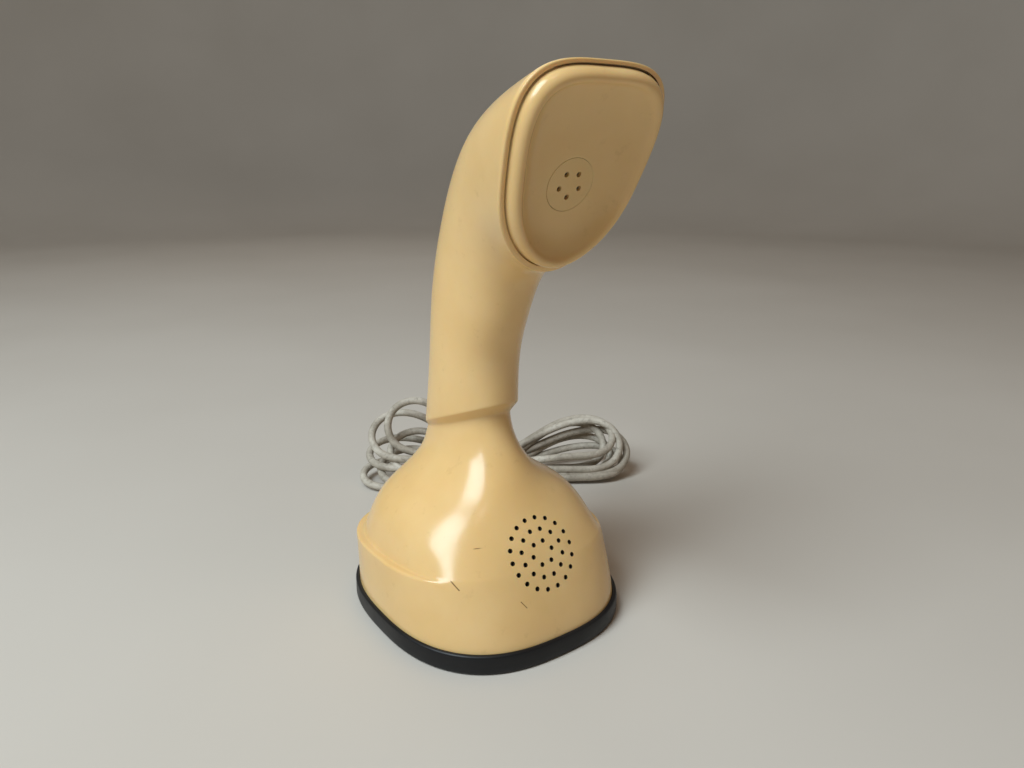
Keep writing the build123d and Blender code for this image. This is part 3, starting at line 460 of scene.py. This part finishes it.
# per column: degrees from the front, and how much of the ledge is there
FROM_FRONT = np.degrees(np.arctan2(np.abs(COS), -SIN))
LEDGE_SHARE = smoothstep((FROM_FRONT - LEDGE_FADE[0]) / (LEDGE_FADE[1] - LEDGE_FADE[0]))


def natural_spline(sections, count):
    """Points on a natural cubic spline through the sections, the same parameters for every column."""
    gaps = np.linalg.norm(np.diff(sections, axis=0), axis=2).mean(axis=1)
    knots = np.concatenate([[0], np.cumsum(gaps)]) / gaps.sum()
    size = len(knots)
    step = np.diff(knots)
    matrix, right = np.eye(size), np.zeros(sections.shape)
    for i in range(1, size - 1):
        matrix[i, i - 1:i + 2] = step[i - 1], 2 * (step[i - 1] + step[i]), step[i]
        after, before = sections[i + 1] - sections[i], sections[i] - sections[i - 1]
        right[i] = 6 * (after / step[i] - before / step[i - 1])
    curve = np.linalg.solve(matrix, right.reshape(size, -1)).reshape(sections.shape)
    rows = []
    for at in np.linspace(0, 1, count):
        i = min(np.searchsorted(knots, at, side="right") - 1, size - 2)
        h, a, b = step[i], knots[i + 1] - at, at - knots[i]
        rows.append(curve[i] * a ** 3 / (6 * h) + curve[i + 1] * b ** 3 / (6 * h)
                    + (sections[i] / h - curve[i] * h / 6) * a
                    + (sections[i + 1] / h - curve[i + 1] * h / 6) * b)
    return np.array(rows)


def along_columns(rows, share):
    """For each column, the point at a share (0 to 1, per column) of the way through its rows."""
    place = np.clip(np.broadcast_to(share, COLUMNS), 0, 1) * (len(rows) - 1)
    low = np.minimum(place.astype(int), len(rows) - 2)
    part = (place - low)[:, None]
    column = np.arange(COLUMNS)
    return rows[low, column] * (1 - part) + rows[low + 1, column] * part


def stretch(rows, start, end, count):
    """Rows between two per-column shares of a set of rows."""
    return [along_columns(rows, start + (end - start) * i / (count - 1)) for i in range(count)]


def rounded(first, corner, last, count):
    """Rows of a quadratic bend from first to last, pulled to the corner, without its two ends."""
    rows = []
    for i in range(1, count + 1):
        t = i / (count + 1)
        rows.append(first * (1 - t) ** 2 + corner * 2 * t * (1 - t) + last * t ** 2)
    return rows


def towards(start, end, distance):
    """Points a distance from start towards end, at most 45 % of the way, per column."""
    gap = end - start
    size = np.maximum(np.linalg.norm(gap, axis=1), 1e-9)
    return start + gap * np.minimum(distance / size, 0.45)[:, None]


SKIRT_ROWS, BELL_ROWS, GRIP_ROWS = 59, 241, 401            # rows the outlines are worked out at
NECK_DROP, NECK_GAP, NECK_LEAST = 3.2, 4.0, 0.15           # how far the neck ends below the grip's edge
STEP_FULL = 2.0                                            # a ledge wider than this is a full step
SOFT_BEND, STEP_BEND = 3.0, 1.2                            # height of the bend below a soft and a full step
STEP_OUT, STEP_IN = 1.1, 0.9                               # how far the step's outer and inner edges bend
NECK_IN, NECK_OUT = 1.0, 0.7                               # and those of the slope under the grip
RIM_FLAT, LIP_BEND = 0.6, 0.4                              # the rim's flat part, and the bend into the groove
# shares of the bell's and the grip's rows
NECK_BEND, GRIP_START, RIM_AT, WELL_AT = 0.012, 0.006, 0.986, 0.975


def shell_rows():
    """Every row of the shell's outer face, from inside the rubber ring up to the earpiece's groove."""
    skirt = np.array([foot_points(h) for h in np.linspace(SHELF_Z, SKIRT_Z, SKIRT_ROWS)])
    bell = natural_spline(np.array([foot_points(SKIRT_Z, depth=LEDGE * LEDGE_SHARE)]
                                   + [slice_points(s) for s in BELL]), BELL_ROWS)
    grip = natural_spline(np.array([slice_points(s) for s in GRIP]), GRIP_ROWS)

    # where the neck meets the sloped underside of the grip
    edge = slice_points(GRIP[0])
    (fy, fz), (by, bz) = GRIP_EDGE
    slope = np.array([0, -(bz - fz), by - fy]) / math.hypot(by - fy, bz - fz)
    height = (bell - edge.mean(axis=0)) @ slope
    neck_gap = np.linalg.norm(slice_points(GRIP[0]) - slice_points(BELL[-1]), axis=1)
    drop = NECK_DROP * smoothstep(neck_gap / NECK_GAP) + NECK_LEAST
    meet = np.array([np.interp(-drop[c], height[:, c], np.linspace(0, 1, len(bell))) for c in range(COLUMNS)])
    neck_end = along_columns(bell, meet)

    # the ledge: a soft bend at the front that turns into a step with rounded edges
    crown, inner = skirt[-1], bell[0]
    sharp = smoothstep(LEDGE * LEDGE_SHARE / STEP_FULL)
    skirt_end = 1 - (SOFT_BEND + (STEP_BEND - SOFT_BEND) * sharp) / (SKIRT_Z - SHELF_Z)
    bell_start = (2 - sharp) * 3 / (len(bell) - 1)
    below, above = along_columns(skirt, skirt_end), along_columns(bell, bell_start)
    smooth = np.array(rounded(below, (crown + inner) / 2, above, 16))
    out_end, in_start = towards(crown, inner, STEP_OUT), towards(inner, crown, STEP_IN)
    stepped = np.array(rounded(below, crown, out_end, 8) + [out_end, (out_end + in_start) / 2, in_start]
                       + rounded(in_start, inner, above, 5))
    ledge = smooth * (1 - sharp)[:, None] + stepped * sharp[:, None]

    neck_low = along_columns(bell, meet - NECK_BEND)
    slope_in, slope_out = towards(neck_end, edge, NECK_IN), towards(edge, neck_end, NECK_OUT)
    grip_low = along_columns(grip, GRIP_START)
    rim = grip[-1]
    lip = slice_points(GRIP[-1], WALL)
    well = lip + along_columns(grip, WELL_AT) - rim
    rim_out = rim + (lip - rim) * RIM_FLAT
    lip_in, well_top = towards(lip, rim, LIP_BEND), towards(lip, well, LIP_BEND)

    rows = stretch(skirt, 0.0, skirt_end, 14) + list(ledge)
    rows += stretch(bell, bell_start, meet - NECK_BEND, 76)
    rows += rounded(neck_low, neck_end, slope_in, 4) + [slope_in, slope_out]
    rows += rounded(slope_out, edge, grip_low, 5)
    rows += stretch(grip, GRIP_START, RIM_AT, 150)
    rows += rounded(along_columns(grip, RIM_AT), rim, rim_out, 6) + [rim_out, lip_in]
    rows += rounded(lip_in, lip, well_top, 3) + [well_top, (lip + well) / 2, well]
    return rows


# ---- the shell ------------------------------------------------------------------------------
MIC_AXIS = Vector((0, -math.cos(math.radians(MIC_LEAN)), math.sin(math.radians(MIC_LEAN))))
MIC_AT = Vector((0, FOOT_Y + MIC_FRONT[0], MIC_FRONT[1]))
MIC_PATCH = 22.0           # radius of the patch of the shell that is cut
MIC_CRISP = 20.0           # radius inside which sharp edges are the holes' own
MIC_RINGS = (1, 2, 3)      # each has six holes more than the one inside it
MIC_TWIST = 7.0            # degrees that each ring is turned on from the one inside it
MIC_CUT = 24.0             # length of the tool for a hole
MIC_CLEAR = 16.5           # radius that holds every hole


def placed(name, bm):
    """An object in the scene made of a bmesh, which is freed."""
    mesh = bpy.data.meshes.new(name)
    bm.to_mesh(mesh)
    bm.free()
    made = bpy.data.objects.new(name, mesh)
    bpy.context.scene.collection.objects.link(made)
    return made


def slab_of(faces):
    """A closed object from a patch of faces and a copy of it, one wall's thickness inside."""
    patch = bmesh.new()
    copy = {}
    for face in faces:
        for vertex in face.verts:
            if vertex not in copy:
                copy[vertex] = patch.verts.new(vertex.co)
        patch.faces.new([copy[v] for v in face.verts])
    patch.normal_update()
    inner = bmesh.ops.duplicate(patch, geom=list(patch.faces))
    twins, outer = inner["vert_map"], set(copy.values())
    for vertex in copy.values():
        twins[vertex].co = vertex.co - MIC_AXIS * WALL * MM
    bmesh.ops.reverse_faces(patch, faces=[g for g in inner["geom"] if isinstance(g, bmesh.types.BMFace)])
    for edge in [e for e in patch.edges if e.is_boundary and e.verts[0] in outer]:
        first, second = edge.verts
        patch.faces.new((first, second, twins[second], twins[first]))
    bmesh.ops.recalc_face_normals(patch, faces=patch.faces)
    return placed("slab", patch)


def hole_tool():
    """All mouthpiece holes as one object of plain rods."""
    tool = bmesh.new()
    side = Vector((1, 0, 0))
    up = MIC_AXIS.cross(side)
    turn = Matrix((side, up, MIC_AXIS)).transposed().to_4x4()
    for ring in MIC_RINGS:
        for index in range(6 * ring):
            angle = math.radians(MIC_TWIST * ring + 60 / ring * index)
            centre = MIC_AT + (side * math.cos(angle) + up * math.sin(angle)) * ring * MIC_STEP
            place = Matrix.Translation(centre * MM) @ turn
            bmesh.ops.create_cone(tool, cap_ends=True, segments=28, radius1=MIC_HOLE * MM,
                                  radius2=MIC_HOLE * MM, depth=MIC_CUT * MM, matrix=place)
    return placed("cutter", tool)


def from_mic(point):
    """A point's place from the middle of the mouthpiece holes."""
    return point - MIC_AT * MM


def off_axis(point):
    """A point's distance from the axis of the mouthpiece."""
    place = from_mic(point)
    return (place - MIC_AXIS * place.dot(MIC_AXIS)).length


def mic_holes(mesh):
    """Cuts the rings of mouthpiece holes through a patch of the mesh, which gets a thickness there."""
    bm = bmesh.new()
    bm.from_mesh(mesh)
    near = [f for f in bm.faces if from_mic(f.calc_center_median()).length < MIC_PATCH * MM
            and f.normal.dot(MIC_AXIS) > 0.5]
    slab, tool = slab_of(near), hole_tool()
    bmesh.ops.delete(bm, geom=near, context="FACES")
    cut = slab.modifiers.new("cut", "BOOLEAN")
    cut.operation, cut.solver, cut.object = "DIFFERENCE", "EXACT", tool
    result = bpy.data.meshes.new_from_object(slab.evaluated_get(bpy.context.evaluated_depsgraph_get()))
    bpy.data.objects.remove(slab)
    bpy.data.objects.remove(tool)

    shell_faces = len(bm.faces)
    bm.from_mesh(result)
    bm.faces.ensure_lookup_table()
    fresh = bm.faces[shell_faces:]
    for face in fresh:          # the outer side stays ivory; the holes and the inner side get a dark brown, painted shade with some dirt
        face.smooth = True
        face.material_index = 1 if face.normal.dot(MIC_AXIS) < 0.45 else 0
    # the slab's own side walls go: they stand square to the axis, away from every hole
    walls = [f for f in fresh if abs(f.normal.dot(MIC_AXIS)) < 0.3
             and off_axis(f.calc_center_median()) > MIC_CLEAR * MM]
    bmesh.ops.delete(bm, geom=walls, context="FACES")
    bmesh.ops.remove_doubles(bm, verts=bm.verts, dist=0.00002)
    for edge in bm.edges:       # the holes' edges stay crisp
        if len(edge.link_faces) == 2 and edge.calc_face_angle(0) > math.radians(45):
            if from_mic((edge.verts[0].co + edge.verts[1].co) / 2).length < MIC_CRISP * MM:
                edge.smooth = False
    bm.to_mesh(mesh)
    bm.free()


rows = shell_rows()
shell = mesh_piece("shell", np.concatenate(rows), grid_faces(len(rows), COLUMNS), IVORY)
shell.data.materials.append(HOLE_SHADE_AND_DIRT)        # painted shade and dirt for the mouthpiece holes
mic_holes(shell.data)
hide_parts("body_shell")

# ---- earpiece plate -------------------------------------------------------------------------
PLATE_HALF = FACE_HALF - WALL - PLATE_GAP
PLATE_REACH = FACE_LENGTH / 2 - WALL - PLATE_GAP
DISH_FLOOR = PLATE_STAND - DISH_DEPTH
lean = math.radians(FACE_LEAN)
FACE_UP = np.array([0, -math.sin(lean), math.cos(lean)])
FACE_OUT = np.array([0, -math.cos(lean), -math.sin(lean)])
FACE_CENTRE = np.array([0, FOOT_Y + (FACE_TOP[0] + FACE_BOTTOM[0]) / 2, (FACE_TOP[1] + FACE_BOTTOM[1]) / 2])
# the plate's rounded rim, from the groove to the dish: inset, height above the shell's opening
BEAD = (
    (-0.42, -0.75), (0.0, -0.7), (0.0, 0.6), (0.08, 1.5), (0.38, 2.6), (0.9, 3.5), (1.6, 4.12), (2.3, 4.4),
    (3.0, 4.3), (3.6, 3.9), (4.1, 3.35), (4.6, 2.7),
)
BEAD_INSET, BEAD_END = BEAD[-1]
DISH_SLOPE, DISH_STEEPEST = 1.1, 12.5      # how steeply the dish leaves the rim: slope, and most fall
DISH_ROWS = 39
INSERT_HOLE = INSERT_RADIUS + 0.12         # where the dish ends round the insert
# the edge down into the insert's seat: radius beyond the insert's, depth below the dish's floor
SEAT = ((0.06, 0.06), (0.03, 0.4), (0.03, 2.0))
# radii and depth of the dark sheet behind the insert's holes, which paints shade into them
SHADE_SHEET_RADII, SHADE_SHEET_DEPTH = (0.05, 4.5, 9.0), 1.55


def on_face(x, y, out):
    """Points from the earpiece face's own x, y and height above it."""
    return FACE_CENTRE + np.outer(x, [1, 0, 0]) + np.outer(y, FACE_UP) + np.outer(out, FACE_OUT)


def plate_outline(inset):
    """The plate's outline on the earpiece face, drawn in by the inset."""
    return oval(PLATE_HALF - inset, PLATE_REACH - inset, FACE_SQUARE, FACE_EGG, FACE_SQUARE_TOP)


def dish_row(share):
    """A row of the dish: 0 at the bead's inner edge, 1 at the insert."""
    x, y = plate_outline(BEAD_INSET)
    cx, cy = INSERT_HOLE * COS, INSERT_HOLE * SIN - INSERT_DROP
    fall = np.minimum(DISH_SLOPE * np.hypot(cx - x, cy - y), DISH_STEEPEST)
    height = DISH_FLOOR + ((BEAD_END - DISH_FLOOR) * (1 + 2 * share) - fall * share) * (1 - share) ** 2
    return on_face(x + (cx - x) * share, y + (cy - y) * share, height)


def round_row(radius, out):
    """A round row about the insert's centre."""
    return on_face(radius * COS, radius * SIN - INSERT_DROP, np.full(COLUMNS, out))


plate_rows = [on_face(*plate_outline(inset), np.full(COLUMNS, out)) for inset, out in BEAD]
plate_rows += [dish_row(share) for share in np.linspace(0, 1, DISH_ROWS + 1)[1:]]
plate_rows += [round_row(INSERT_RADIUS + wider, DISH_FLOOR - deep) for wider, deep in SEAT]
plate = mesh_piece("earpiece_plate", np.concatenate(plate_rows), grid_faces(len(plate_rows), COLUMNS),
                   IVORY)
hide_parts("ear_plate")
# a dark sheet behind the insert's holes: painted shade that makes the holes read black
shade_sheet_rows = [round_row(radius, DISH_FLOOR - SHADE_SHEET_DEPTH) for radius in SHADE_SHEET_RADII]
mesh_piece("sound_gauze", np.concatenate(shade_sheet_rows), grid_faces(len(shade_sheet_rows), COLUMNS), BLACK)

# ---- rubber foot ring -----------------------------------------------------------------------
# from the ring's inner side under its bottom to its outer side and top: inset from the outline, height
RING_INSIDE = RING_WIDTH - RING_LIP
RING_PROFILE = (
    (RING_INSIDE, RING_HEIGHT - 3.6), (RING_INSIDE, 0.3), (RING_INSIDE - 0.3, 0.0), (1.2 - RING_LIP, 0.0),
    (0.6 - RING_LIP, 0.12), (0.18 - RING_LIP, 0.5), (-RING_LIP, 1.1), (-RING_LIP, 3.0), (-RING_LIP, 5.0),
    (-RING_LIP, RING_HEIGHT - 1.0), (0.1 - RING_LIP, RING_HEIGHT - 0.5), (0.4 - RING_LIP, RING_HEIGHT - 0.12),
    (0.8 - RING_LIP, RING_HEIGHT), (-0.25, RING_HEIGHT - 0.05), (0.0, RING_HEIGHT - 0.3),
    (0.05, RING_HEIGHT - 2.5),
)
ring_rows = [foot_points(height, inset) for inset, height in RING_PROFILE]
ring = mesh_piece("rubber_ring", np.concatenate(ring_rows), grid_faces(len(ring_rows), COLUMNS), RUBBER)
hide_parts("foot_ring")

# ---- digits on the dial face ----------------------------------------------------------------
FINGER_CIRCLE, FACE_Z = 28.5, 5.3
ONE_AT, FINGER_STEP = 270, 30              # degrees: the place of "1", and the step back to each next digit
DIGIT_HEIGHT, DIGIT_THICK, DIGIT_SUNK = 8.4, 0.04, 0.05
for digit in range(10):
    angle = math.radians(ONE_AT - FINGER_STEP * ((digit or 10) - 1))
    text = bpy.data.curves.new(f"digit_{digit}", "FONT")
    text.body = str(digit)
    text.size = DIGIT_HEIGHT * MM
    text.align_x, text.align_y = "CENTER", "CENTER"
    text.extrude = DIGIT_THICK * MM
    label = bpy.data.objects.new(f"digit_{digit}", text)
    bpy.context.scene.collection.objects.link(label)
    x, y = FINGER_CIRCLE * math.cos(angle), FOOT_Y + FINGER_CIRCLE * math.sin(angle)
    at = Vector((x, y, FACE_Z - DIGIT_SUNK))
    label.matrix_world = Matrix.Translation(at * MM) @ Matrix.Rotation(math.pi, 4, "Y")
    bpy.context.view_layer.update()
    mesh = bpy.data.meshes.new_from_object(label.evaluated_get(bpy.context.evaluated_depsgraph_get()))
    mesh.transform(label.matrix_world)
    bpy.data.objects.remove(label)
    mesh.materials.clear()
    mesh.materials.append(INK)
    link(f"digit_{digit}", mesh)

# ---- cord pieces ----------------------------------------------------------------------------
TIE_HALF, TIE_RISE, TIE_MIDDLE = 13.2, 8.2, 8.6            # the band's half width, half height and middle
TIE_PROFILE = ((0.0, -2.6), (0.7, -2.4), (1.0, 0.0), (0.7, 2.4), (0.0, 2.6))       # outwards, along the hank
TIE_LOW, TIE_COLUMNS = 0.2, 48
tie_at = HANK_LEFT + HANK_ALONG * PINCH
tie_points = []
for out, along in TIE_PROFILE:
    for column in range(TIE_COLUMNS):
        turn = 2 * math.pi * column / TIE_COLUMNS
        point = tie_at + HANK_ALONG * along + HANK_ACROSS * (TIE_HALF + out) * math.cos(turn)
        tie_points.append((point.x, point.y, max(TIE_LOW, TIE_MIDDLE + (TIE_RISE + out) * math.sin(turn))))
tie = mesh_piece("cord_tie", tie_points, grid_faces(len(TIE_PROFILE), TIE_COLUMNS), BLACK)

# ---- floor and light, in metres -------------------------------------------------------------
FLOOR_REACH, FLOOR_CURVE, WALL_TOP = 1.7, 0.7, 1.3         # a flat round floor that curves up into a wall
FLOOR_Z, STAGE_COLUMNS = -0.0002, 96
bend = [(FLOOR_REACH + FLOOR_CURVE * math.sin(a), FLOOR_CURVE * (1 - math.cos(a)))
        for a in np.linspace(0, math.pi / 2, 13)]
stage_profile = [(0.0, 0.0), (0.5, 0.0), (1.1, 0.0), *bend, (FLOOR_REACH + FLOOR_CURVE, WALL_TOP)]
stage_points = [(r * math.cos(t), r * math.sin(t), z + FLOOR_Z)
                for r, z in stage_profile for t in np.linspace(0, 2 * math.pi, STAGE_COLUMNS + 1)[:-1]]
floor_mesh = bpy.data.meshes.new("floor")
floor_mesh.from_pydata(stage_points, [], grid_faces(len(stage_profile), STAGE_COLUMNS))
floor_mesh.validate()
floor_mesh.shade_smooth()
floor = bpy.data.objects.new("floor", floor_mesh)
bpy.context.scene.collection.objects.link(floor)
pale = Nodes("pale_floor")
pale.set(Base_Color=pale.ramp(pale.noise(3, 3), (0.3, (0.55, 0.51, 0.455)), (0.7, (0.59, 0.55, 0.495))),
         Roughness=0.7)
floor_mesh.materials.append(pale.material)

world = bpy.data.worlds.new("studio")
world.use_nodes = True
background = world.node_tree.nodes["Background"]
background.inputs["Color"].default_value = (1.0, 0.68, 0.44, 1.0)
background.inputs["Strength"].default_value = 0.09
bpy.context.scene.world = world


def softbox(name, at, aim_z, size, power, tint):
    """A soft rectangular light, aimed at a height above the middle of the floor."""
    light = bpy.data.lights.new(name, "AREA")
    light.shape = "RECTANGLE"
    light.size, light.size_y = size
    light.energy = power
    light.color = tint
    lamp = bpy.data.objects.new(name, light)
    lamp.location = at
    lamp.rotation_euler = (Vector((0, 0, aim_z)) - Vector(at)).to_track_quat("-Z", "Y").to_euler()
    bpy.context.scene.collection.objects.link(lamp)


softbox("key", (-0.93, -0.12, 1.2), 0.1, (0.7, 1.0), 26, (0.83, 0.94, 1.0))
softbox("ceiling", (-0.19, -0.52, 1.45), 0.1, (0.14, 0.14), 0.9, (1.0, 0.97, 0.9))
softbox("fill", (0.65, -0.85, 1.25), 0.05, (0.8, 0.8), 1.1, (1.0, 0.55, 0.24))
softbox("back", (0.5, 1.3, 1.1), 0.1, (1.0, 0.6), 2.2, (1.0, 0.90, 0.78))
